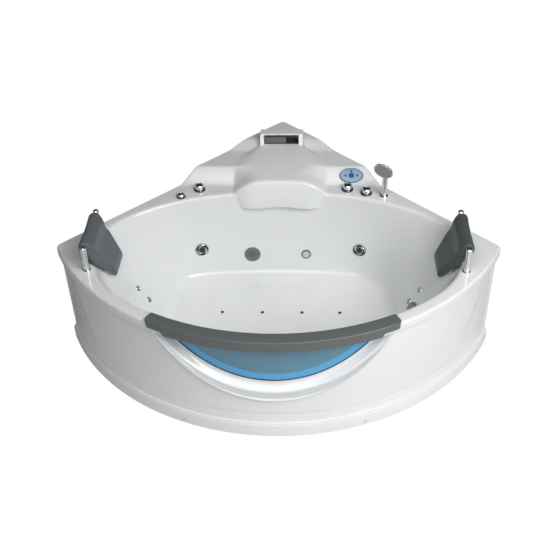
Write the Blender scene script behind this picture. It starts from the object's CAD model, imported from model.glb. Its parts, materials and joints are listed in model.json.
import bmesh
import bpy
import json
import math
import numpy as np
from mathutils import Matrix, Vector


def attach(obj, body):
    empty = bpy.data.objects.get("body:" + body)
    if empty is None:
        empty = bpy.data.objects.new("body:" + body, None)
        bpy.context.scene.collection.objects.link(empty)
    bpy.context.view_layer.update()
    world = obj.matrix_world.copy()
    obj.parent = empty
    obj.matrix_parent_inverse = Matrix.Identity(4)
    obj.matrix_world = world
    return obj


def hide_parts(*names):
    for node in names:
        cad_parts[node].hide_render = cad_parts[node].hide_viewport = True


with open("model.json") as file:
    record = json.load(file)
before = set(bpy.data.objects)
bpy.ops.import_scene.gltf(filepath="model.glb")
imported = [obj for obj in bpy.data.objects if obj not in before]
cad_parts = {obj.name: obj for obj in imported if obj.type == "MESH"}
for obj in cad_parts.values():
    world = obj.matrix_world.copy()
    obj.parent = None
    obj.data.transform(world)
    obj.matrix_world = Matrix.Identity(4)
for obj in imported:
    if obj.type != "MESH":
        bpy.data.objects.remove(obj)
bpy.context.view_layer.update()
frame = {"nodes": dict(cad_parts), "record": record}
nodes = frame["nodes"]
mm = 0.001

# Sizes in millimetres. They repeat the solids' own values, so a change goes into both.
plan = {"wallLength": 1500.0, "frontDepth": 1747.0, "basinCentre": 1065.0, "rimWidth": 66.0,
        "openHalf": 868.0, "openBack": 467.0, "openFront": 900.0, "floorHalf": 575.0,
        "floorBack": 393.0, "floorFront": 700.0, "floorIn": 110.0, "rimHeight": 580.0,
        "floorHeight": 110.0, "consoleRise": 66.0, "cornerRise": 90.0, "lip": 45.0,
        "skin": 8.0, "chuteHigh": 91.0, "chuteLow": 68.0, "chuteIn": 75.0, "chuteOut": 240.0,
        "chuteLowIn": 150.0, "chuteLowOut": 206.0, "chuteCut": 30.0, "chuteProud": 38.0, "chuteWave": 8.0,
        "sidePower": 2.6, "hoodWidth": 228.0, "railProud": 10.0, "outlineBlend": 30.0, "openBlend": 80.0,
        "floorBlend": 150.0, "floorPower": 4.5}
halfSpan = plan["wallLength"] / math.sqrt(2)
bulge = plan["frontDepth"] - halfSpan
arcR = (halfSpan ** 2 + bulge ** 2) / (2 * bulge)
arcD = plan["frontDepth"] - arcR
hubD = plan["basinCentre"]
tipSoft = 0.01
backY = (hubD - hubD / (1 + tipSoft) + plan["frontDepth"] + plan["railProud"]) / 2
hubY = backY - hubD
arcY = backY - arcD
rimZ = plan["rimHeight"]


def mix(a, b, t):
    return a + (b - a) * t


def unit(t):
    return np.clip(t, 0, 1)


def ease(t):
    u = unit(t)
    return u * u * (3 - 2 * u)


def softMin(a, b, k):
    h = np.maximum(k - np.abs(a - b), 0) / k
    return np.minimum(a, b) - h * h * k / 4


# The same ramp with both corners rounded over a share k
def softUnit(t, k):
    low = np.where(t < -k, 0, np.where(t > k, t, (t + k) ** 2 / (4 * k)))
    return 1 - np.where(1 - low < -k, 0, np.where(1 - low > k, 1 - low, (1 - low + k) ** 2 / (4 * k)))


# How far the front arc, an oval, the outline, the opening, the floor and the wall are from the
# basin's middle, by direction
def arcReach(a, r):
    k = hubD - arcD
    d = k * np.sin(a)
    return d + np.sqrt(r * r - k * k + d * d)


def ovalReach(a, w, h, n):
    return (np.abs(np.cos(a) / w) ** n + np.abs(np.sin(a) / h) ** n) ** (-1 / n)


def outlineR(a, inset=0.0):
    s = np.sin(a) + np.sqrt(np.cos(a) ** 2 + tipSoft ** 2)
    wall = np.where(s > 0.3, (hubD - inset * math.sqrt(2)) / np.maximum(s, 0.3), 4000)
    return softMin(wall, arcReach(a, arcR - inset), plan["outlineBlend"])


def openR(a):
    h = np.where(np.sin(a) > 0, plan["openBack"], plan["openFront"])
    oval = ovalReach(a, plan["openHalf"], h, 2)
    return softMin(oval, arcReach(a, arcR - plan["rimWidth"]), plan["openBlend"])


def floorR(a):
    h = np.where(np.sin(a) > 0, plan["floorBack"], plan["floorFront"])
    inner = arcR - plan["rimWidth"] - plan["floorIn"]
    oval = ovalReach(a, plan["floorHalf"], h, plan["floorPower"])
    return softMin(oval, arcReach(a, inner), plan["floorBlend"])


def wallR(a, z):
    return mix(openR(a), floorR(a), (rimZ - z) / (rimZ - plan["floorHeight"]))


# Distances from the room corner where the deck's two slopes and the chute begin, and how long they run
slopeFoot, slopeRun, slopeSoft, topFoot, topRun = 530.0, 75.0, 0.09, 310.0, 110.0
chuteBack, chuteFade, chuteEarly = 250.0, 45.0, 35.0
chuteLen = hubD - plan["openBack"] - chuteBack
crown = {"from": 380.0, "run": 220.0, "out": 3.0}
foot = {"from": 275.0, "run": 185.0, "out": 12.0, "power": 2.2}
nose = {"drop": 100.0, "waveHalf": 110.0, "lowShare": 0.4, "run": 32.0}


def tierRise(d):
    rise = plan["consoleRise"] * softUnit((slopeFoot - d) / slopeRun, slopeSoft)
    return rise + (plan["cornerRise"] - plan["consoleRise"]) * ease((topFoot - d) / topRun)


def chuteTop(d):
    return mix(plan["chuteHigh"], plan["chuteLow"], unit((d - chuteBack) / chuteLen) ** 1.5)


def chuteCrown(d):
    return mix(plan["hoodWidth"] / 2 + crown["out"], plan["chuteIn"], ease((d - crown["from"]) / crown["run"]))


def chuteFoot(d):
    share = 1 - (1 - unit((d - foot["from"]) / foot["run"])) ** foot["power"]
    return mix(plan["hoodWidth"] / 2 + foot["out"], plan["chuteOut"], share)


def sideFall(x, inner, outer):
    return 1 - unit((np.abs(x) - inner) / (outer - inner)) ** plan["sidePower"]


def chuteShare(x, d):
    begin = ease((d - chuteBack + chuteEarly) / chuteFade)
    return np.where(d > hubD, 0, begin * sideFall(x, chuteCrown(d), chuteFoot(d)))


# Height of the deck with the chute on it
def deckZ(r, a):
    x, d = r * np.cos(a), hubD - r * np.sin(a)
    return rimZ + mix(tierRise(d), chuteTop(d), chuteShare(x, d))


# The basin's wall with the chute's nose standing out of it
def basinR(a, z):
    r = wallR(a, z)
    x = r * np.cos(a)
    up = unit((rimZ + plan["chuteLow"] - z) / (plan["chuteLow"] + nose["drop"]))
    low = rimZ - nose["drop"] + plan["chuteWave"] * unit(1 - (x / nose["waveHalf"]) ** 2)
    reach = mix(nose["lowShare"], 1, up) * plan["chuteProud"] * ease((z - low) / nose["run"])
    cut = plan["chuteCut"] * unit(1 - (z - low) / plan["chuteCut"]) ** 2
    inner = mix(plan["chuteIn"], plan["chuteLowIn"], up) - cut
    outer = mix(plan["chuteOut"], plan["chuteLowOut"], up) - cut
    return np.where(np.sin(a) > 0, r - reach * sideFall(x, inner, outer), r)


# A mesh with smooth shading up to an angle and its faces turned outward
def makeObject(name, points, faces, smoothAngle=35):
    mesh = bpy.data.meshes.new(name)
    mesh.from_pydata([tuple(p) for p in points], [], [tuple(f) for f in faces])
    mesh.validate()
    obj = bpy.data.objects.new(name, mesh)
    bpy.context.scene.collection.objects.link(obj)
    shadeByAngle(obj, smoothAngle)
    fixNormals(obj)
    return obj


def activate(obj):
    bpy.context.view_layer.objects.active = obj
    for o in bpy.context.selected_objects:
        o.select_set(False)
    obj.select_set(True)


def shadeByAngle(obj, degrees):
    activate(obj)
    bpy.ops.object.shade_smooth_by_angle(angle=math.radians(degrees))


# Replaces the mesh by what the modifier makes of it
def bake(obj, modifier):
    bpy.context.view_layer.update()
    mesh = bpy.data.meshes.new_from_object(obj.evaluated_get(bpy.context.evaluated_depsgraph_get()))
    obj.modifiers.remove(modifier)
    obj.data = mesh


def gridFaces(rows, cols, first=0, closed=True, flip=False):
    faces = []
    for i in range(rows - 1):
        for j in range(cols if closed else cols - 1):
            k = (j + 1) % cols
            low = first + i * cols
            quad = [low + j, low + k, low + cols + k, low + cols + j]
            faces.append(quad[::-1] if flip else quad)
    return faces


def fixNormals(obj):
    bm = bmesh.new()
    bm.from_mesh(obj.data)
    bmesh.ops.recalc_face_normals(bm, faces=bm.faces)
    bm.to_mesh(obj.data)
    bm.free()


def arcPoint(theta, r, z):
    return (r * math.sin(theta) * mm, (arcY - r * math.cos(theta)) * mm, z * mm)


# Sweeps profile(theta), a closed list of (radius, height), round the front arc
def sweepArc(name, thetas, profile, smoothAngle=35):
    points = []
    for t in thetas:
        points += [arcPoint(t, r, z) for r, z in profile(t)]
    n = len(profile(thetas[0]))
    faces = gridFaces(len(thetas), n)
    faces.append(list(range(n))[::-1])
    faces.append([(len(thetas) - 1) * n + j for j in range(n)])
    return makeObject(name, points, faces, smoothAngle)


# A closed outline with its corners rounded
def roundLoop(corners, radii, steps=5):
    out = []
    n = len(corners)
    for i, (c, r) in enumerate(zip(corners, radii)):
        c = np.array(c, float)
        p, q = np.array(corners[i - 1], float), np.array(corners[(i + 1) % n], float)
        u, v = (p - c) / np.linalg.norm(p - c), (q - c) / np.linalg.norm(q - c)
        if r <= 0:
            out.append(tuple(c))
            continue
        for k in range(steps + 1):
            t = k / steps
            out.append(tuple((1 - t) ** 2 * (c + u * r) + 2 * t * (1 - t) * c + t * t * (c + v * r)))
    return out


def booleanCut(obj, cutter):
    m = obj.modifiers.new("cut", "BOOLEAN")
    m.operation = "DIFFERENCE"
    m.solver = "EXACT"
    m.object = cutter
    bake(obj, m)
    bpy.data.objects.remove(cutter)


shellLook = {"edgeRound": 20.0, "cornerRound": 12.0, "floorRound": 58.0, "spokesFine": 0.5, "spokesWide": 1.6,
             "lipRound": 3.5, "strip": 0.55, "underStrip": 1.2, "shade": 50}
# Rings of the mesh: distances from the room corner on the deck, depths below the rim on the wall
shellLines = {"deck": [150, 200, 205, 215, 230, *range(245, 306, 10), *range(320, 421, 25), 438, 446, 452, 455, 458,
                       464, *range(472, 513, 10), 521, 527, 530, 533, 539, *range(548, 589, 10)],
              "wall": [*range(20, 63, 6), *range(66, 103, 4), 108, 120, *range(150, 351, 50)],
              "underDeck": [150, 200, 235, *range(260, 321, 20), *range(345, 421, 25), 455, 474, 492, 511, 530, 548,
                            565, 582],
              "underWall": [30, 44, 56, 66, 74, *range(80, 105, 6), 112, 150, 200, 270, 340]}
# Spokes of the mesh in degrees, closer at the back, in the corner and at both tips
degrees = np.concatenate([
    np.arange(-90, 50, shellLook["spokesWide"]), np.arange(50, 130, shellLook["spokesFine"]),
    np.arange(130, 270, shellLook["spokesWide"]), [90.0, 89.9, 90.1, 89.75, 90.25]])
tipA = np.arange(-20, 20, 0.01)
tip = tipA[int(np.argmax(outlineR(np.radians(tipA))))]
tipFan = np.array([-1.2, -0.8, -0.5, -0.25, 0, 0.25, 0.5, 0.8, 1.2])
degrees = np.concatenate([degrees, tip + tipFan, 180 - tip + tipFan])
spokes = np.radians(np.unique(np.round(degrees, 3)))


# A line across the deck, kept inside the ring and a strip away from its neighbours
def lineR(a, lines, i, low, high, strip):
    n = len(lines)
    lo = low + strip * (n - i)
    hi = high - strip * (i + 1)
    want = np.where(np.sin(a) > 0.05, (hubD - lines[i]) / np.maximum(np.sin(a), 0.05), 4000)
    return np.minimum(np.maximum(want, lo), hi)


# Rings of the upper face, from the lip over the deck and down the basin, and of the face under it
def shellTop(a):
    ro = outlineR(a)
    cr, er = shellLook["cornerRound"], shellLook["edgeRound"]
    rc = ro - cr
    zo = deckZ(rc, a)
    lipZ = rimZ - plan["lip"] + 0 * a
    rings = [(ro - shellLook["lipRound"], lipZ), (ro - 1, lipZ + 0.8), (ro, lipZ + shellLook["lipRound"])]
    for t in (0.0, 0.35, 0.65, 0.9):
        rings.append((ro, mix(lipZ + 5, zo - cr, t)))
    for k in range(8):
        b = math.radians(90 * k / 7)
        rings.append((ro - cr + cr * math.cos(b), zo - cr + cr * math.sin(b)))
    inner = openR(a)
    ze = deckZ(inner, a)
    pr = basinR(a, ze)
    pa = pr + er
    for i in range(len(shellLines["deck"])):
        r = lineR(a, shellLines["deck"], i, pa + 2, rc - 1, shellLook["strip"])
        rings.append((r, deckZ(r, a)))
    pb = (basinR(a, ze - er), ze - er)
    pk = (pa, deckZ(pa, a))
    for k in range(9):
        t = k / 8
        rings.append(((1 - t) ** 2 * pk[0] + 2 * t * (1 - t) * pr + t * t * pb[0],
                      (1 - t) ** 2 * pk[1] + 2 * t * (1 - t) * ze + t * t * pb[1]))
    fr = shellLook["floorRound"]
    footZ = plan["floorHeight"] + fr
    for d in shellLines["wall"]:
        z = np.minimum(rimZ - d + 0 * a, ze - er - 2)
        rings.append((basinR(a, z), z))
    fs = (wallR(a, footZ), footZ + 0 * a)
    fp = (floorR(a), plan["floorHeight"] + 0 * a)
    fe = (floorR(a) - fr, plan["floorHeight"] + 0 * a)
    for k in range(11):
        t = k / 10
        rings.append(tuple((1 - t) ** 2 * fs[c] + 2 * t * (1 - t) * fp[c] + t * t * fe[c] for c in (0, 1)))
    for t in (0.75, 0.5, 0.25):
        rings.append((fe[0] * t, fe[1]))
    return rings


def shellUnder(a):
    t = plan["skin"]
    ro = outlineR(a, t)
    ze = deckZ(openR(a), a)
    rp = basinR(a, ze) + t + 0.2 * (ze - rimZ)
    rings = [(ro, 0 * a + rimZ - plan["lip"]), (ro, deckZ(ro, a) - t)]
    for i in range(len(shellLines["underDeck"])):
        r = lineR(a, shellLines["underDeck"], i, rp + 2, ro - 1, shellLook["underStrip"])
        rings.append((r, deckZ(r, a) - t))
    zl = ze - shellLook["edgeRound"]
    rings += [(rp, deckZ(rp, a) - t), (basinR(a, zl) + t, zl)]
    for d in shellLines["underWall"]:
        rings.append((basinR(a, rimZ - d) + t, 0 * a + rimZ - d))
    zf = plan["floorHeight"] - t
    rings += [(floorR(a) + 0.3 * t, 0 * a + zf + 24), (floorR(a) - 6, 0 * a + zf + 8), (floorR(a) - 24, 0 * a + zf)]
    return rings


def buildShell():
    top, under = shellTop(spokes), shellUnder(spokes)
    n = len(spokes)
    points = []
    for r, z in top + under:
        z = np.broadcast_to(z, r.shape)
        points += list(zip(r * np.cos(spokes) * mm, (hubY + r * np.sin(spokes)) * mm, z * mm))
    faces = gridFaces(len(top), n) + gridFaces(len(under), n, first=len(top) * n, flip=True)
    u0 = len(top) * n
    for j in range(n):
        k = (j + 1) % n
        faces.append([j, u0 + j, u0 + k, k])
    topEnd, underEnd = (len(top) - 1) * n, u0 + (len(under) - 1) * n
    for first, z in ((topEnd, plan["floorHeight"]), (underEnd, plan["floorHeight"] - plan["skin"])):
        points.append((0, hubY * mm, z * mm))
        for j in range(n):
            faces.append([first + j, first + (j + 1) % n, len(points) - 1])
    return makeObject("shell", points, faces, shellLook["shade"])


windowShape = {"lowRadius": 616.0, "low": 307.0, "top": 526.0, "frame": 9.0, "gap": 0.3, "paneIn": 60.0,
               "cut": (900.0, arcR - 20.0)}
beadR, beadZ, beadHalf, beadCut = 607.0, 229.0, 9.0, (850.0, arcR + 30.0)


# A solid through the front, from an outline of (x, height)
def frontPrism(name, outline, near, far):
    n = len(outline)
    points = [(x * mm, (arcY - y) * mm, z * mm) for y in (near, far) for x, z in outline]
    faces = [list(range(n)), list(range(n, 2 * n))[::-1]]
    faces += [[j, (j + 1) % n, n + (j + 1) % n, n + j] for j in range(n)]
    return makeObject(name, points, faces)


def smileOutline(grow):
    r, up = windowShape["lowRadius"] + grow, windowShape["low"] + windowShape["lowRadius"]
    half = math.acos((up - windowShape["top"] - grow) / r)
    return [(r * math.sin(b), up - r * math.cos(b)) for b in np.linspace(-half, half, 121)]


# Holes for the fittings, in the wall: direction from the basin's middle in degrees, height and radius;
# in the floor: place across, distance in front of the room corner and radius
wallSpots = {"largeJets": [(137.5, 272, 23), (42.5, 272, 23)],
             "smallJets": [(179.3, 307, 11), (179.0, 232, 11), (0.7, 307, 11), (1.0, 232, 11)],
             "suction": [(110.4, 222, 27)], "light": [(71.6, 223, 21)], "overflow": [(-5.5, 250, 21)]}
floorSpots = {"air": [(x, 1003.0, 8.0) for x in (-292, -86, 117, 311)], "drain": [(420.0, 1330.0, 25.0)]}
upright = (Vector((1, 0, 0)), Vector((0, 1, 0)), Vector((0, 0, 1)))
cutHalf = 30.0


def wallPoint(degreesRound, z):
    a = math.radians(degreesRound)
    r = float(wallR(a, z))
    return Vector((r * math.cos(a), hubY + r * math.sin(a), z))


def wallFrame(degreesRound, z):
    u = wallPoint(degreesRound + 1, z) - wallPoint(degreesRound - 1, z)
    v = wallPoint(degreesRound, z - 5) - wallPoint(degreesRound, z + 5)
    n = u.cross(v).normalized()
    side = Vector((0, 0, 1)).cross(n).normalized()
    return wallPoint(degreesRound, z), side, n.cross(side), n


def ringSolid(place, profile, sides=48):
    points = []
    at, sx, sy, n = place
    for r, z in profile:
        for k in range(sides):
            b = 2 * math.pi * k / sides
            points.append((at + sx * (r * math.cos(b)) + sy * (r * math.sin(b)) + n * z) * mm)
    faces = gridFaces(len(profile), sides)
    faces.append(list(range(sides))[::-1])
    faces.append([(len(profile) - 1) * sides + k for k in range(sides)])
    return points, faces


def fittingCutter():
    points, faces = [], []
    places = [(wallFrame(a, z), r) for spots in wallSpots.values() for a, z, r in spots]
    places += [((Vector((x, backY - d, plan["floorHeight"])), *upright), r)
               for spots in floorSpots.values() for x, d, r in spots]
    for place, r in places:
        more, quads = ringSolid(place, [(r, -cutHalf), (r, cutHalf)])
        faces += [[len(points) + k for k in f] for f in quads]
        points += more
    return makeObject("fittingCut", points, faces)


shell = buildShell()
windowOutline = smileOutline(windowShape["frame"] + windowShape["gap"])
booleanCut(shell, frontPrism("windowCut", windowOutline, *windowShape["cut"]))
booleanCut(shell, fittingCutter())
shadeByAngle(shell, shellLook["shade"])
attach(shell, "tub")
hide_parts("tub_shell")
print("shell done", len(shell.data.polygons))

apronLook = {"thickness": 5.0, "inset": 13.0, "band": 78.0, "gap": 10.0, "groove": 135.0, "halfAngle": 64.6,
             "pocketLow": 47.0, "pocketLean": 7.0, "pocketEnd": 62.3, "pocketDepth": 4.5,
             "leanFrom": 150.0, "leanRun": 330.0, "nearRun": 5.0, "endRun": 1.5, "bottom": 120.0,
             "bottomRun": 60.0, "top": 500.0, "topRun": 18.0}
apronR, bandR = arcR - apronLook["inset"], arcR + 1
apronTop = rimZ - plan["lip"] + 8
beadUp = beadZ + beadR
paneR = arcR - windowShape["paneIn"]


def apronProfile(theta):
    t = apronLook["thickness"]
    b, g = apronLook["band"], apronLook["groove"]
    outer = [(bandR - 2, apronLook["gap"]), (bandR, apronLook["gap"] + 2), (bandR, b - 6), (bandR - 0.8, b - 2),
             (bandR - 3, b + 2), (bandR - 6, b + 6), (bandR - 9.5, b + 10), (bandR - 12.4, b + 14), (apronR, b + 20),
             (apronR, g - 8), (apronR - 0.8, g - 1), (apronR - 1.8, g + 2), (apronR - 0.8, g + 5), (apronR, g + 12)]
    outer += [(apronR, z) for z in np.linspace(g + 22, apronTop - 2, 60)]
    shaped = [(r - pocket(math.degrees(theta), z), z) for r, z in outer]
    inner = [(r - t if z > b + 12 else bandR - t, z) for r, z in reversed(shaped)]
    return shaped + inner


# Depth of the sculpted pocket near each end of the apron
def pocket(a, z):
    look, side = apronLook, abs(a)
    lower = look["pocketLow"] + look["pocketLean"] * ease((z - look["leanFrom"]) / look["leanRun"])
    share = ease((side - lower) / look["nearRun"]) * (1 - ease((side - look["pocketEnd"]) / look["endRun"]))
    up = ease((z - look["bottom"]) / look["bottomRun"]) * (1 - ease((z - look["top"]) / look["topRun"]))
    return look["pocketDepth"] * float(share * up)


apronEnd = apronLook["halfAngle"]
apronSteps = np.concatenate([np.arange(-apronEnd, -44, 0.3), np.arange(-44, 44, 0.8),
                             np.arange(44, apronEnd + 0.01, 0.3)])
apron = sweepArc("apron", list(np.radians(apronSteps)), apronProfile, 30)


beadHole = beadR - beadHalf
beadTurns = np.linspace(0, 2 * math.pi, 361)[:-1]
beadOutline = [(beadHole * math.cos(b), beadUp + beadHole * math.sin(b)) for b in beadTurns]
booleanCut(apron, frontPrism("beadCut", beadOutline, *beadCut))
shadeByAngle(apron, 30)
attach(apron, "tub")
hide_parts("apron_panel")
print("apron done", len(apron.data.polygons))

surroundLook = {"shares": [0, 0.02, 0.06, 0.14, 0.24, 0.34, 0.43, 0.5, 0.58, 0.7, 0.82],
                "rises": [0, 0.005, 0.02, 0.11, 0.27, 0.45, 0.60, 0.685, 0.72, 0.76, 0.80],
                "edges": [16, 13, 10.5, 8, 6, 4, 2, 0.5, 0],
                "edgeRises": [0.825, 0.87, 0.94, 0.985, 1.0, 0.985, 0.94, 0.89, 0.86],
                "thickness": 4.0, "innerOut": 4.0, "outerIn": 3.0}
surroundTop = rimZ - plan["lip"] - 1


# A point of the surround: t along the window from left to right, k from its edge out to the bead
def surroundPoint(t, k, back):
    gap = windowShape["frame"] + windowShape["gap"]
    up = windowShape["low"] + windowShape["lowRadius"]
    ri = windowShape["lowRadius"] + gap
    a, b = t * math.acos((up - surroundTop) / ri), t * math.acos((beadUp - surroundTop) / beadR)
    p = np.array([ri * math.sin(a), up - ri * math.cos(a)])
    q = np.array([beadR * math.sin(b), beadUp - beadR * math.cos(b)])
    look = surroundLook
    n = len(look["shares"])
    if k < n:
        m, rise = p + (q - p) * look["shares"][k], look["rises"][k]
    else:
        m, rise = q - (q - p) * look["edges"][k - n] / np.linalg.norm(q - p), look["edgeRises"][k - n]
    r = mix(paneR + look["innerOut"], arcR - look["outerIn"], rise) - back
    if back and k > n - 3:
        r = max(r, apronR + 0.5)
    return (m[0] * mm, (arcY - math.sqrt(r * r - m[0] * m[0])) * mm, m[1] * mm)


count = len(surroundLook["shares"]) + len(surroundLook["edges"])
loop = [(k, 0) for k in range(count)] + [(k, surroundLook["thickness"]) for k in range(count - 1, -1, -1)]
ts = np.linspace(-1, 1, 241)
points = [surroundPoint(t, k, back) for t in ts for k, back in loop]
faces = gridFaces(len(ts), len(loop))
for k in range(count - 1):
    for o in (0, (len(ts) - 1) * len(loop)):
        faces.append([o + k, o + k + 1, o + len(loop) - 2 - k, o + len(loop) - 1 - k])
surround = makeObject("surround", points, faces, 40)
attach(surround, "tub")
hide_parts("window_surround")
print("surround done")

railLook = {"end": 28.4, "deepEnd": 23.8, "up": 12.0, "drop": 40.0, "endDrop": 22.0, "cornerIn": 9.0,
            "cornerOut": 26.0, "inStep": 12.0, "dropRun": 1.1, "endRun": 6.0, "endLow": 3.0}


def railProfile(theta):
    a = abs(math.degrees(theta))
    left = math.radians(railLook["end"] - a) * arcR
    rin, rout = arcR - plan["rimWidth"] + railLook["inStep"], arcR + plan["railProud"]
    ci, co = railLook["cornerIn"], railLook["cornerOut"]
    if left < ci:
        rin += ci - math.sqrt(max(ci * ci - (ci - left) ** 2, 0))
    if left < co:
        rout -= co - math.sqrt(max(co * co - (co - left) ** 2, 0))
    shallow = float(ease((a - railLook["deepEnd"] + 0.5) / railLook["dropRun"]))
    drop = mix(railLook["drop"], railLook["endDrop"], shallow)
    top, low = rimZ + railLook["up"], rimZ + 0.1
    top -= (1 - min(1.0, left / railLook["endRun"] + 0.25)) * railLook["endLow"]
    if rout > arcR + 3:
        under = rimZ - drop
        corners = [(rin, low), (rin, top), (rout, top), (rout, under), (arcR + 0.3, under), (arcR + 0.3, low)]
        radii = [1, 4, 7, 3, 1, 0.4]
    else:
        edge = max(rout, rin + 8)
        corners = [(rin, low), (rin, top), (edge, top), (edge, low + 0.3), (edge - 0.4, low), (edge - 0.8, low)]
        radii = [1, 3, 3, 0.1, 0.1, 0.1]
    return roundLoop(corners, radii, 5)


endSteps = np.array([0, 0.03, 0.08, 0.15, 0.25, 0.4, 0.6, 0.8, 1.0, 1.2, 1.5, 2.0])
railDegrees = np.concatenate([endSteps - railLook["end"], np.arange(-26, -22, 0.15), np.arange(-22, 22, 0.5),
                              np.arange(22, 26, 0.15), railLook["end"] - endSteps])
rail = sweepArc("rail", list(np.radians(np.unique(railDegrees))), railProfile, 40)
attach(rail, "tub")
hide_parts("front_rail")

pillowLook = {"post": 870.0, "depth": 1105.0, "bar": 685.0, "topWidth": 262.0, "lowWidth": 150.0, "length": 230.0,
              "roll": 33.0, "half": 23.0, "set": -9.0, "edge": 34.0, "voxel": 4.5, "pressure": 3.0, "cap": 6.0,
              "taper": 0.55, "taperPower": 0.85, "sideRound": 16.0, "sideThin": 0.72, "neck": 80.0, "room": 0.45,
              "around": 40, "across": 61, "crowd": 1.35, "stiff": 40, "frames": 20, "smoothTimes": 6}
lean = math.atan2(plan["openHalf"] - plan["floorHalf"], rimZ - plan["floorHeight"])


# One loop round the pad, u across it; the pad is built smaller by what the cloth lets it swell
def pillowLoop(side, u, steps, shrink):
    look = pillowLook
    half = look["topWidth"] / 2
    s = unit((abs(u) - look["lowWidth"] / 2) / (half - look["lowWidth"] / 2))
    length = look["length"] * (1 - look["taper"] * s ** look["taperPower"]) - shrink
    t = unit((abs(u) - half + look["sideRound"]) / look["sideRound"])
    thin = mix(1, look["sideThin"], 1 - math.sqrt(max(1 - t * t, 0)))
    roll = look["roll"] - shrink
    out = []
    for i in list(range(steps + 1)) + list(range(steps - 1, 0, -1)):
        front = len(out) <= steps
        v = mix(-roll, length, (1 - math.cos(math.pi * i / steps)) / 2)
        if v < 0:
            h = math.sqrt(max(roll * roll - v * v, 0))
        else:
            end = unit((v - length + look["edge"]) / look["edge"])
            h = mix(roll, look["half"] - shrink, ease(v / look["neck"])) * math.sqrt(max(1 - end ** 2, 0))
        vv = v * (thin if v < 0 else 1)
        w = look["set"] * ease(v / look["neck"]) + (thin * h if front else -thin * h)
        out.append((side * (look["post"] - vv * math.sin(lean) - w * math.cos(lean)),
                    backY - look["depth"] - u, look["bar"] - vv * math.cos(lean) + w * math.sin(lean)))
    return out


def buildPillow(name, side, body, node):
    look = pillowLook
    shrink, steps = look["cap"] * look["room"], look["around"]
    us = np.linspace(-1, 1, look["across"])
    us = np.sign(us) * (1 - (1 - np.abs(us)) ** look["crowd"])
    half = look["topWidth"] / 2 - shrink
    points = [tuple(c * mm for c in p) for u in us for p in pillowLoop(side, u * half, steps, shrink)]
    n = 2 * steps
    faces = gridFaces(len(us), n)
    faces.append(list(range(n))[::-1])
    faces.append([(len(us) - 1) * n + j for j in range(n)])
    pad = makeObject(name, points, faces, 60)
    pad.data.remesh_voxel_size = look["voxel"] * mm
    activate(pad)
    bpy.ops.object.voxel_remesh()
    rest = np.array([v.co for v in pad.data.vertices])
    cloth = pad.modifiers.new("swell", "CLOTH")
    cloth.settings.use_pressure = True
    cloth.settings.uniform_pressure_force = look["pressure"]
    cloth.settings.effector_weights.gravity = 0
    cloth.settings.tension_stiffness = look["stiff"]
    cloth.settings.compression_stiffness = look["stiff"]
    scene = bpy.context.scene
    for f in range(1, look["frames"] + 1):
        scene.frame_set(f)
    bake(pad, cloth)
    scene.frame_set(1)
    now = np.array([v.co for v in pad.data.vertices])
    move = now - rest
    size = np.linalg.norm(move, axis=1, keepdims=True)
    capped = rest + move * np.minimum(1, look["cap"] * mm / np.maximum(size, 1e-9))
    pad.data.vertices.foreach_set("co", capped.ravel())
    pad.data.update()
    smooth = pad.modifiers.new("smooth", "SMOOTH")
    smooth.iterations = look["smoothTimes"]
    smooth.factor = 0.5
    bake(pad, smooth)
    shadeByAngle(pad, 80)
    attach(pad, body)
    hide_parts(node)
    return pad


leftPad = buildPillow("leftPad", -1, "left_headrest", "left_pillow")
rightPad = buildPillow("rightPad", 1, "right_headrest", "right_pillow")
print("headrests done")

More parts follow.
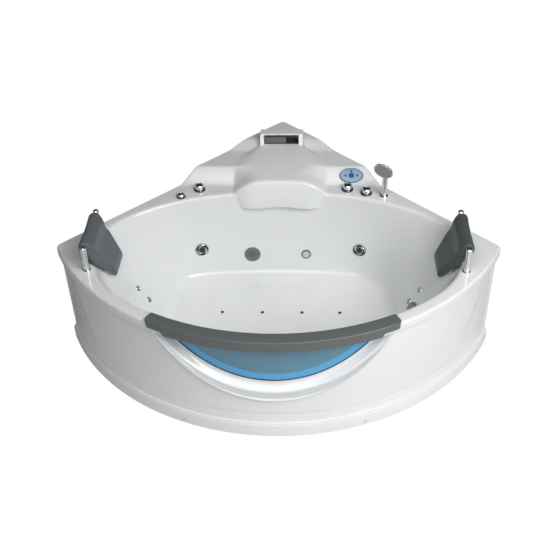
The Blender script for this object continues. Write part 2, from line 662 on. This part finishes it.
# Linear colour, roughness, metallic, coat, scale of the noise, how far it moves the colour, and bump
finishParts = ("color", "rough", "metal", "coat", "noise", "spread", "bump")
finishRows = {
    "acrylic": ((0.84, 0.85, 0.855), 0.16, 0.0, 0.35, 9.0, 0.03, 0.015),
    "board": ((0.50, 0.34, 0.18), 0.62, 0.0, 0.0, 22.0, 0.10, 0.15),
    "steel": ((0.42, 0.43, 0.44), 0.42, 0.8, 0.0, 60.0, 0.10, 0.05),
    "zinc": ((0.60, 0.61, 0.62), 0.32, 1.0, 0.0, 90.0, 0.10, 0.04),
    "foot_plastic": ((0.03, 0.03, 0.03), 0.50, 0.0, 0.0, 120.0, 0.10, 0.06),
    "seal": ((0.012, 0.014, 0.016), 0.55, 0.0, 0.0, 90.0, 0.08, 0.05),
    "rail_trim": ((0.115, 0.125, 0.122), 0.34, 0.0, 0.08, 160.0, 0.05, 0.05),
    "left_pad": ((0.085, 0.100, 0.102), 0.46, 0.0, 0.05, 240.0, 0.06, 0.10),
    "chrome": ((0.78, 0.79, 0.80), 0.07, 1.0, 0.0, 40.0, 0.04, 0.0),
    "grey_plastic": ((0.17, 0.18, 0.18), 0.30, 0.25, 0.1, 120.0, 0.06, 0.02),
    "dark_plastic": ((0.045, 0.048, 0.048), 0.45, 0.0, 0.0, 90.0, 0.08, 0.05),
    "hose": ((0.60, 0.61, 0.62), 0.25, 1.0, 0.0, 60.0, 0.05, 0.0),
    "brass": ((0.60, 0.42, 0.16), 0.30, 1.0, 0.0, 80.0, 0.06, 0.03),
    "keypad_blue": ((0.20, 0.37, 0.53), 0.16, 0.0, 0.5, 60.0, 0.04, 0.0),
    "key_blue": ((0.008, 0.055, 0.17), 0.42, 0.0, 0.0, 60.0, 0.04, 0.0),
    "motor": ((0.035, 0.07, 0.12), 0.45, 0.0, 0.1, 70.0, 0.08, 0.1),
    "nozzle_dark": ((0.022, 0.024, 0.025), 0.28, 0.0, 0.2, 90.0, 0.08, 0.02),
    "ring_dark": ((0.085, 0.090, 0.092), 0.22, 0.6, 0.1, 90.0, 0.06, 0.0),
    "grille": ((0.21, 0.22, 0.22), 0.35, 0.1, 0.0, 90.0, 0.05, 0.02),
    "dark_chrome": ((0.34, 0.35, 0.36), 0.14, 1.0, 0.0, 60.0, 0.05, 0.0),
    "face_grey": ((0.30, 0.31, 0.31), 0.35, 0.0, 0.1, 90.0, 0.05, 0.02),
    "pipe": ((0.68, 0.69, 0.68), 0.38, 0.0, 0.0, 40.0, 0.05, 0.02),
}
finishes = {name: dict(zip(finishParts, row)) for name, row in finishRows.items()}
glassLook = {"tint": (0.14, 0.33, 0.46), "alpha": 0.80, "rough": 0.05, "edge": (0.13, 0.50, 0.86),
             "strip": (-46.0, -36.0)}
# Fine noise, depth of the bump in metres, spread of the roughness, and the noise in clear pieces
wearLook = {"detail": 3.0, "fineTimes": 9.0, "fineDetail": 2.0, "bumpDepth": 0.0004, "smoother": 0.85, "duller": 1.2,
            "coatRough": 0.05, "clearNoise": 6.0, "clearDarker": 0.95}
surroundShade = {"color": (0.62, 0.63, 0.63), "in": (34.0, 42.0), "out": (58.0, 72.0)}
lensLook = {"tint": (0.80, 0.79, 0.72), "alpha": 0.75, "rough": 0.25}


def setInputs(node, values):
    for socket, value in values.items():
        node.inputs[socket].default_value = value


def shaderGroup(name, inputs, outputs):
    group = bpy.data.node_groups.new(name, "ShaderNodeTree")
    for way, sockets in (("INPUT", inputs), ("OUTPUT", outputs)):
        for label, kind in sockets.items():
            group.interface.new_socket(name=label, in_out=way, socket_type="NodeSocket" + kind)
    new = group.nodes.new
    return group, new, group.links.new, new("NodeGroupInput"), new("NodeGroupOutput"), new("ShaderNodeTexCoord")


# Slow noise on the object's own coordinates, put out as a mask and a fine normal
def wearGroup():
    group, new, link, inp, out, coord = shaderGroup("surfaceWear", {"Scale": "Float", "Bump": "Float"},
                                                    {"Mask": "Float", "Normal": "Vector"})
    noise, bump, fine, times = (new("ShaderNode" + k) for k in ("TexNoise", "Bump", "TexNoise", "Math"))
    times.operation = "MULTIPLY"
    setInputs(times, {1: wearLook["fineTimes"]})
    setInputs(noise, {"Detail": wearLook["detail"]})
    setInputs(fine, {"Detail": wearLook["fineDetail"]})
    setInputs(bump, {"Distance": wearLook["bumpDepth"]})
    link(coord.outputs["Object"], noise.inputs["Vector"])
    link(coord.outputs["Object"], fine.inputs["Vector"])
    link(inp.outputs["Scale"], noise.inputs["Scale"])
    link(inp.outputs["Scale"], times.inputs[0])
    link(times.outputs[0], fine.inputs["Scale"])
    link(fine.outputs["Fac"], bump.inputs["Height"])
    link(inp.outputs["Bump"], bump.inputs["Strength"])
    link(noise.outputs["Fac"], out.inputs["Mask"])
    link(bump.outputs["Normal"], out.inputs["Normal"])
    return group


wear = wearGroup()


def principled(name):
    mat = bpy.data.materials.new(name)
    mat.use_nodes = True
    return mat, mat.node_tree, mat.node_tree.nodes["Principled BSDF"]


# Distance from the middle of the window's circle, put out as a mask
def bandGroup():
    group, new, link, inp, out, coord = shaderGroup("windowBand", {"From": "Float", "To": "Float"}, {"Mask": "Float"})
    flat, away, share = (new("ShaderNode" + k) for k in ("VectorMath", "VectorMath", "MapRange"))
    flat.operation, away.operation = "MULTIPLY", "DISTANCE"
    setInputs(flat, {1: (1, 0, 1)})
    setInputs(away, {1: (0, 0, (windowShape["low"] + windowShape["lowRadius"]) * mm)})
    share.interpolation_type = "SMOOTHSTEP"
    link(coord.outputs["Object"], flat.inputs[0])
    link(flat.outputs[0], away.inputs[0])
    link(away.outputs["Value"], share.inputs["Value"])
    link(inp.outputs["From"], share.inputs["From Min"])
    link(inp.outputs["To"], share.inputs["From Max"])
    link(share.outputs["Result"], out.inputs["Mask"])
    return group


windowBand = bandGroup()


# Turns a finish to another colour beyond the circle of the window, over a span given from its edge
def shadeWith(mat, span, color):
    tree = mat.node_tree
    base = tree.nodes["Principled BSDF"].inputs["Base Color"]
    band = tree.nodes.new("ShaderNodeGroup")
    band.node_tree = windowBand
    setInputs(band, {label: (windowShape["lowRadius"] + v) * mm for label, v in zip(("From", "To"), span)})
    before = base.links[0].from_socket
    shade = tree.nodes.new("ShaderNodeMix")
    shade.data_type = "RGBA"
    setInputs(shade, {"B": (*color, 1)})
    tree.links.new(band.outputs["Mask"], shade.inputs["Factor"])
    tree.links.new(before, shade.inputs["A"])
    tree.links.new(shade.outputs["Result"], base)


# A base colour that moves between two with the slow noise
def wornColor(tree, bsdf, noise, bump, low, high):
    group, shade = tree.nodes.new("ShaderNodeGroup"), tree.nodes.new("ShaderNodeMix")
    group.node_tree = wear
    shade.data_type = "RGBA"
    setInputs(group, {"Scale": noise, "Bump": bump})
    setInputs(shade, {"A": (*low, 1), "B": (*high, 1)})
    tree.links.new(group.outputs["Mask"], shade.inputs["Factor"])
    tree.links.new(shade.outputs["Result"], bsdf.inputs["Base Color"])
    return group


def solidFinish(name, look):
    mat, tree, bsdf = principled(name)
    setInputs(bsdf, {"Metallic": look["metal"], "Coat Weight": look["coat"], "Coat Roughness": wearLook["coatRough"]})
    low = [v * (1 - look["spread"]) for v in look["color"]]
    high = [min(1.0, v * (1 + look["spread"])) for v in look["color"]]
    group = wornColor(tree, bsdf, look["noise"], look["bump"], low, high)
    rough, link = tree.nodes.new("ShaderNodeMapRange"), tree.links.new
    setInputs(rough, {"To Min": look["rough"] * wearLook["smoother"], "To Max": look["rough"] * wearLook["duller"]})
    link(group.outputs["Mask"], rough.inputs["Value"])
    link(rough.outputs["Result"], bsdf.inputs["Roughness"])
    if look["bump"] > 0:
        link(group.outputs["Normal"], bsdf.inputs["Normal"])
    return mat


def clearFinish(name, look):
    mat, tree, bsdf = principled(name)
    low = [v * wearLook["clearDarker"] for v in look["tint"]]
    wornColor(tree, bsdf, wearLook["clearNoise"], 0.0, low, look["tint"])
    setInputs(bsdf, {"Roughness": look["rough"], "Alpha": look["alpha"]})
    return mat


mats = {name: solidFinish(name, look) for name, look in finishes.items()}
mats["blue_glass"] = clearFinish("blue_glass", glassLook)
shadeWith(mats["blue_glass"], glassLook["strip"], glassLook["edge"])
mats["surround"] = solidFinish("surround", finishes["acrylic"])
shadeWith(mats["surround"], surroundShade["in"], surroundShade["color"])
shadeWith(mats["surround"], surroundShade["out"], finishes["acrylic"]["color"])
mats["lens"] = clearFinish("lens", lensLook)


def dress(obj, slotName):
    obj.data.materials.clear()
    obj.data.materials.append(mats[slotName])


for obj, slotName in ((shell, "acrylic"), (apron, "acrylic"), (surround, "acrylic"), (rail, "rail_trim"),
                      (leftPad, "left_pad"), (rightPad, "left_pad")):
    dress(obj, slotName)
surround.data.materials[0] = mats["surround"]
# The pads' own shades, as shares of the finish
for pad, share in ((leftPad, 1.3), (rightPad, 0.78)):
    look = dict(finishes["left_pad"], color=tuple(v * share for v in finishes["left_pad"]["color"]))
    pad.data.materials[0] = solidFinish(pad.name, look)
slotOf = {p["node"]: p["material_slot"] for p in frame["record"]["subparts"]}
# Pieces of the solids whose look differs from their slot's
lookOf = {side + size + "_nozzle": "nozzle_dark" for side in ("left_", "right_")
          for size in ("large", "upper", "lower")}
lookOf.update({"knob_rings": "ring_dark", "suction_grille": "grille", "suction_body": "grille",
               "light_housing": "dark_chrome", "spray_face": "face_grey", "air_jets": "nozzle_dark"})
replaced = {"tub_shell", "apron_panel", "window_surround", "front_rail", "left_pillow", "right_pillow"}
# Widths of the rounded edges in millimetres
rounded = {"spout_hood": 3.0, "keypad_body": 1.2, "control_box": 4.0, "pump_motor": 2.0, "blower": 4.0,
           "spray_face": 0.8, "shower_bushing": 0.8, "overflow_knob": 1.5, "drain_plug": 1.5}
edgeLook = {"width": 0.5, "segments": 2, "angle": 40, "shade": 32}
for name, obj in nodes.items():
    if name in replaced:
        continue
    dress(obj, slotOf[name])
    if name in lookOf:
        obj.data.materials[0] = mats[lookOf[name]]
    shadeByAngle(obj, edgeLook["shade"])
    bevel = obj.modifiers.new("edges", "BEVEL")
    bevel.width = rounded.get(name, edgeLook["width"]) * mm
    bevel.segments = edgeLook["segments"]
    bevel.limit_method = "ANGLE"
    bevel.angle_limit = math.radians(edgeLook["angle"])
    bevel.harden_normals = False
    bevel.use_clamp_overlap = True


def joined(name, parts, slotName, look, body, smoothAngle=35):
    points, faces = [], []
    for more, quads in parts:
        faces += [[len(points) + k for k in f] for f in quads]
        points += more
    obj = makeObject(name, points, faces, smoothAngle)
    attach(obj, body)
    dress(obj, slotName)
    obj.data.materials[0] = mats[look]
    return obj


def topOf(node):
    co = np.array([nodes[node].matrix_world @ v.co for v in nodes[node].data.vertices]) / mm
    low, high = co.min(axis=0), co.max(axis=0)
    return Vector(((low[0] + high[0]) / 2, (low[1] + high[1]) / 2, high[2]))


# Caps in the dishes of the knobs: name, body and the radius of the dish's foot
capLook = {"hot_knob": ("hotCap", "hot_tap", 15.0), "cold_knob": ("coldCap", "cold_tap", 15.0),
           "diverter_knob": ("diverterCap", "diverter", 15.0), "air_knob": ("airCap", "air_control", 12.0)}
for node, (name, body, r) in capLook.items():
    profile = [(r - 0.3, -2.9), (r + 2.0, -0.7), (r + 1.2, -0.2), (r * 0.6, 0.2), (1.0, 0.3)]
    joined(name, [ringSolid((topOf(node), *upright), profile)], "dark_plastic", "nozzle_dark", body)


# Rim, dish, vanes and eye of a jet's face, as shares of the fitting's radius; sweep in degrees
jetLook = {"rimIn": 0.84, "dishIn": 0.44, "vanes": 3, "vaneFrom": 0.50, "vaneTo": 0.78, "sweep": 84.0,
           "wide": 0.10, "flat": 0.5, "eye": 0.20, "hub": 0.36}
# Piece, body, spot on the wall and the turn of its vanes in degrees
jetFaces = [
    ("leftLarge", "left_large_jet", "largeJets", 0, 20), ("rightLarge", "right_large_jet", "largeJets", 1, 75),
    ("leftUpper", "left_upper_jet", "smallJets", 0, 10), ("leftLower", "left_lower_jet", "smallJets", 1, 50),
    ("rightUpper", "right_upper_jet", "smallJets", 2, 30), ("rightLower", "right_lower_jet", "smallJets", 3, 80)]
jetSizes = {"largeJets": (40.0, 5.7), "smallJets": (17.0, 3.7)}  # radius and how far the face stands out


def newTree(name, counts, sizes):
    tree = bpy.data.node_groups.new(name, "GeometryNodeTree")
    for kind, labels in (("Int", counts), ("Float", sizes), ("Material", ["Material"])):
        for label in labels:
            tree.interface.new_socket(name=label, in_out="INPUT", socket_type="NodeSocket" + kind)
    tree.interface.new_socket(name="Geometry", in_out="OUTPUT", socket_type="NodeSocketGeometry")
    return tree, tree.nodes.new("NodeGroupInput"), tree.nodes.new("NodeGroupOutput")


def mathNode(tree, operation, first, second):
    node = tree.nodes.new("ShaderNodeMath")
    node.operation = operation
    for k, v in enumerate((first, second)):
        if hasattr(v, "is_linked"):
            tree.links.new(v, node.inputs[k])
        else:
            node.inputs[k].default_value = v
    return node.outputs[0]


def finishTree(tree, out, geometry, inp):
    real, paint = tree.nodes.new("GeometryNodeRealizeInstances"), tree.nodes.new("GeometryNodeSetMaterial")
    tree.links.new(geometry, real.inputs[0])
    tree.links.new(real.outputs[0], paint.inputs["Geometry"])
    tree.links.new(inp.outputs["Material"], paint.inputs["Material"])
    tree.links.new(paint.outputs[0], out.inputs[0])


def vaneTree():
    tree, inp, out = newTree("jetVanes", ["Vanes"], ["Start Radius", "End Radius", "Turns", "Width", "Flatness"])
    new, link = tree.nodes.new, tree.links.new
    spiral, profile, sweep, along, width = (new("GeometryNode" + k) for k in (
        "CurveSpiral", "CurvePrimitiveCircle", "CurveToMesh", "SplineParameter", "SetCurveRadius"))
    setInputs(spiral, {"Resolution": 20, "Height": 0.0})
    setInputs(profile, {"Resolution": 8, "Radius": 1.0})
    setInputs(sweep, {"Fill Caps": True})
    for given, wanted in (("Start Radius", "Start Radius"), ("End Radius", "End Radius"), ("Turns", "Rotations")):
        link(inp.outputs[given], spiral.inputs[wanted])
    part = mathNode(tree, "ADD", mathNode(tree, "MULTIPLY", along.outputs["Factor"], 0.9), 0.06)
    arch = mathNode(tree, "SINE", mathNode(tree, "MULTIPLY", part, math.pi), 0.0)
    wide = mathNode(tree, "MULTIPLY", arch, inp.outputs["Width"])
    link(spiral.outputs[0], width.inputs["Curve"])
    link(wide, width.inputs["Radius"])
    link(width.outputs[0], sweep.inputs["Curve"])
    link(profile.outputs[0], sweep.inputs["Profile Curve"])
    if "Scale" in sweep.inputs:  # only some versions scale the profile by an input of its own
        link(wide, sweep.inputs["Scale"])
    flat, height = new("GeometryNodeTransform"), new("ShaderNodeCombineXYZ")
    setInputs(height, {0: 1.0, 1: 1.0})
    link(inp.outputs["Flatness"], height.inputs[2])
    link(sweep.outputs[0], flat.inputs["Geometry"])
    link(height.outputs[0], flat.inputs["Scale"])
    dots, copies, index = (new("GeometryNode" + k) for k in ("MeshLine", "InstanceOnPoints", "InputIndex"))
    turn = new("ShaderNodeCombineXYZ")
    setInputs(dots, {"Offset": (0, 0, 0)})
    link(inp.outputs["Vanes"], dots.inputs["Count"])
    angle = mathNode(tree, "DIVIDE", mathNode(tree, "MULTIPLY", index.outputs[0], 2 * math.pi), inp.outputs["Vanes"])
    link(angle, turn.inputs[2])
    link(dots.outputs[0], copies.inputs["Points"])
    link(flat.outputs[0], copies.inputs["Instance"])
    link(turn.outputs[0], copies.inputs["Rotation"])
    finishTree(tree, out, copies.outputs[0], inp)
    return tree


def holeTree():
    tree, inp, out = newTree("coverHoles", ["First Count"], ["First Radius", "Spacing", "Hole Radius", "Hole Depth"])
    new, link = tree.nodes.new, tree.links.new
    parts, dot = new("GeometryNodeJoinGeometry"), new("GeometryNodeMeshCylinder")
    for k in range(coverLook["rings"]):
        ring = new("GeometryNodeMeshCircle")
        step = mathNode(tree, "MULTIPLY", inp.outputs["Spacing"], float(k))
        link(mathNode(tree, "MULTIPLY", inp.outputs["First Count"], k + 1.0), ring.inputs["Vertices"])
        link(mathNode(tree, "ADD", inp.outputs["First Radius"], step), ring.inputs["Radius"])
        link(ring.outputs[0], parts.inputs[0])
    setInputs(dot, {"Vertices": 10})
    link(inp.outputs["Hole Radius"], dot.inputs["Radius"])
    link(inp.outputs["Hole Depth"], dot.inputs["Depth"])
    copies = new("GeometryNodeInstanceOnPoints")
    link(parts.outputs[0], copies.inputs["Points"])
    link(dot.outputs[0], copies.inputs["Instance"])
    finishTree(tree, out, copies.outputs[0], inp)
    return tree


def grown(name, tree, values, place, height, spin, body):
    at, sx, sy, n = place
    obj = makeObject(name, [(0, 0, 0)], [])
    grow = obj.modifiers.new("grow", "NODES")
    grow.node_group = tree
    for item in tree.interface.items_tree:
        if item.in_out == "INPUT" and item.name in values:
            grow[item.identifier] = values[item.name]
    bake(obj, grow)
    c, s = math.cos(spin), math.sin(spin)
    for v in obj.data.vertices:
        x, y, z = v.co / mm
        v.co = (at + sx * (x * c - y * s) + sy * (x * s + y * c) + n * (z + height)) * mm
    fixNormals(obj)
    shadeByAngle(obj, 40)
    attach(obj, body)
    return obj


coverLook = {"rings": 4, "firstCount": 7, "firstRadius": 11.0, "spacing": 8.5, "hole": 1.7, "depth": 1.2, "height": 5.2}
vanes, coverHoles = vaneTree(), holeTree()


for name, body, kind, which, start in jetFaces:
    place, (radius, proud) = wallFrame(*wallSpots[kind][which][:2]), jetSizes[kind]
    low, high = radius * jetLook["dishIn"], radius * jetLook["rimIn"]
    hub, hole = radius * jetLook["hub"], radius * jetLook["eye"]
    dish = ringSolid(place, [(low, proud - 4), (high, proud - 1), (high, proud + 0.2),
                             (high - radius * 0.05, proud + 0.3), (low + 1, proud - 0.2)])
    eye = ringSolid(place, [(hub, proud - 4), (hub, proud), (radius * 0.3, proud + 0.4), (hole, proud + 0.4),
                            (hole * 0.9, proud - 1.5)])
    joined(name + "Dish", [dish], "dark_plastic", "nozzle_dark", "tub")
    joined(name + "Eye", [eye], "grey_plastic", "nozzle_dark", body)
    sizes = {"Vanes": jetLook["vanes"], "Start Radius": radius * jetLook["vaneFrom"] * mm,
             "End Radius": radius * jetLook["vaneTo"] * mm, "Turns": jetLook["sweep"] / 360,
             "Width": radius * jetLook["wide"] * mm, "Flatness": jetLook["flat"], "Material": mats["chrome"]}
    grown(name + "Vanes", vanes, sizes, place, proud, math.radians(start), "tub")
sizes = {"First Count": coverLook["firstCount"], "First Radius": coverLook["firstRadius"] * mm,
         "Spacing": coverLook["spacing"] * mm, "Hole Radius": coverLook["hole"] * mm,
         "Hole Depth": coverLook["depth"] * mm, "Material": mats["nozzle_dark"]}
coverPlace = wallFrame(*wallSpots["suction"][0][:2])
grown("suctionHoles", coverHoles, sizes, coverPlace, coverLook["height"], 0.0, "tub")


# A point in the keypad's own plane, on the console's slope
def padPoint(x, y, z):
    c, s = math.cos(padLook["lean"]), math.sin(padLook["lean"])
    return ((padLook["x"] + x) * mm, (padLook["y"] + y * c - z * s) * mm, (padLook["z"] + y * s + z * c) * mm)


padLook = {"x": 370.0, "y": backY - slopeFoot + slopeRun / 2, "z": rimZ + plan["consoleRise"] / 2,
           "lean": math.atan2(plan["consoleRise"], slopeRun), "halfWidth": 60.0, "halfHeight": 38.0, "level": 7.4,
           "ring": 2.4, "ringIn": 0.6, "ringDown": 0.8, "ringFlat": 0.7}
ringPoints, ringSides, ringSteps = [], 10, 96
for k in range(ringSteps):
    t = 2 * math.pi * k / ringSteps
    for j in range(ringSides):
        b = 2 * math.pi * j / ringSides
        grow = padLook["ring"] * math.cos(b) - padLook["ringIn"]
        up = padLook["level"] - padLook["ringDown"] + padLook["ring"] * padLook["ringFlat"] * math.sin(b)
        wide, deep = padLook["halfWidth"] + grow, padLook["halfHeight"] + grow
        ringPoints.append(padPoint(wide * math.cos(t), deep * math.sin(t), up))
ringEnd = (ringSteps - 1) * ringSides
ringFaces = gridFaces(ringSteps, ringSides)
ringFaces += [[ringEnd + j, ringEnd + (j + 1) % ringSides, (j + 1) % ringSides, j] for j in range(ringSides)]
joined("keypadRing", [(ringPoints, ringFaces)], "dark_plastic", "ring_dark", "tub", 60)
print("finishes done")

studio = {"floorHalf": 6.0, "floorColor": (0.80, 0.80, 0.80), "sky": 0.11, "gloss": 0.55, "aim": (0.0, 0.0, 0.35),
          "key": 103.0, "keyAt": (2.2, -2.4, 3.2), "keySize": 2.0,
          "fill": 14.0, "fillAt": (0.2, -4.2, 1.4), "fillSize": 2.5,
          "top": 54.0, "topAt": (0.0, -2.5, 4.0), "topSize": 2.5, "skyColor": (0.93, 0.96, 1.0),
          "bandStops": ((0.12, 0.10), (0.20, 0.85), (0.34, 0.95), (0.44, 0.12), (0.60, 0.10), (0.72, 0.80))}


# Plain to the light, another shader to one kind of ray
def byRay(tree, ray, plain, seen):
    path, mixer = tree.nodes.new("ShaderNodeLightPath"), tree.nodes.new("ShaderNodeMixShader")
    tree.links.new(path.outputs[ray], mixer.inputs["Fac"])
    tree.links.new(plain.outputs[0], mixer.inputs[1])
    tree.links.new(seen.outputs[0], mixer.inputs[2])
    return mixer


def whiteToCamera(name, color):
    mat = bpy.data.materials.new(name)
    mat.use_nodes = True
    tree = mat.node_tree
    tree.nodes.clear()
    out, plain, white = (tree.nodes.new("ShaderNode" + k) for k in ("OutputMaterial", "BsdfDiffuse", "Emission"))
    setInputs(plain, {"Color": (*color, 1)})
    setInputs(white, {"Color": (1, 1, 1, 1), "Strength": 1.0})
    tree.links.new(byRay(tree, "Is Camera Ray", plain, white).outputs[0], out.inputs["Surface"])
    return mat


half = studio["floorHalf"]
floor = makeObject("floor", [(-half, -half, 0), (half, -half, 0), (half, half, 0), (-half, half, 0)], [(0, 1, 2, 3)])
floor.location.z = -0.0005
floor.data.materials.append(whiteToCamera("floorWhite", studio["floorColor"]))

world = bpy.data.worlds.new("studio")
bpy.context.scene.world = world
world.use_nodes = True
tree = world.node_tree
tree.nodes.clear()
sky, seen, bands = (tree.nodes.new("ShaderNodeBackground") for k in range(3))
out, way, split, ramp = (tree.nodes.new("ShaderNode" + k) for k in (
    "OutputWorld", "TexCoord", "SeparateXYZ", "ValToRGB"))
setInputs(sky, {"Color": (*studio["skyColor"], 1), "Strength": studio["sky"]})
setInputs(seen, {"Color": (1, 1, 1, 1)})
setInputs(bands, {"Strength": studio["gloss"]})
stops = ramp.color_ramp.elements
stops[0].position, stops[1].position = 0.0, 1.0
stops[0].color, stops[1].color = (0.10, 0.10, 0.11, 1), (0.75, 0.77, 0.80, 1)
for at, level in studio["bandStops"]:
    stops.new(at).color = (level, level, level * 1.02, 1)
link = tree.links.new
link(way.outputs["Generated"], split.inputs[0])
link(split.outputs["Z"], ramp.inputs["Fac"])
link(ramp.outputs["Color"], bands.inputs["Color"])
shiny = byRay(tree, "Is Glossy Ray", sky, bands)
link(byRay(tree, "Is Camera Ray", shiny, seen).outputs[0], out.inputs["Surface"])


def softLamp(name, place, size, power):
    data = bpy.data.lights.new(name, "AREA")
    data.shape = "SQUARE"
    data.size = size
    data.energy = power
    lamp = bpy.data.objects.new(name, data)
    lamp.location = place
    lamp.rotation_euler = (Vector(studio["aim"]) - Vector(place)).to_track_quat("-Z", "Y").to_euler()
    bpy.context.scene.collection.objects.link(lamp)


for which in ("key", "fill", "top"):
    softLamp(which + "Lamp", studio[which + "At"], studio[which + "Size"], studio[which])

# Place and axes of the camera, fitted to the outline of the photographed bath
cameraLook = {"place": (0.17253, -3.54621, 3.08034), "lens": 56.756, "x": (0.99929, 0.03207, -0.01954),
              "y": (-0.00488, 0.62663, 0.77930), "z": (0.03723, -0.77866, 0.62634)}
camData = bpy.data.cameras.new("camera")
camData.sensor_width = 36.0
camData.lens = cameraLook["lens"]
camData.clip_start, camData.clip_end = 0.1, 50.0
camera = bpy.data.objects.new("camera", camData)
bpy.context.scene.collection.objects.link(camera)
axes = Matrix([cameraLook["x"], cameraLook["y"], cameraLook["z"]]).transposed()
camera.rotation_mode = "QUATERNION"
camera.rotation_quaternion = axes.to_quaternion()
camera.location = cameraLook["place"]
bpy.context.scene.camera = camera
bpy.context.scene.view_settings.view_transform = "Standard"
print("studio done")
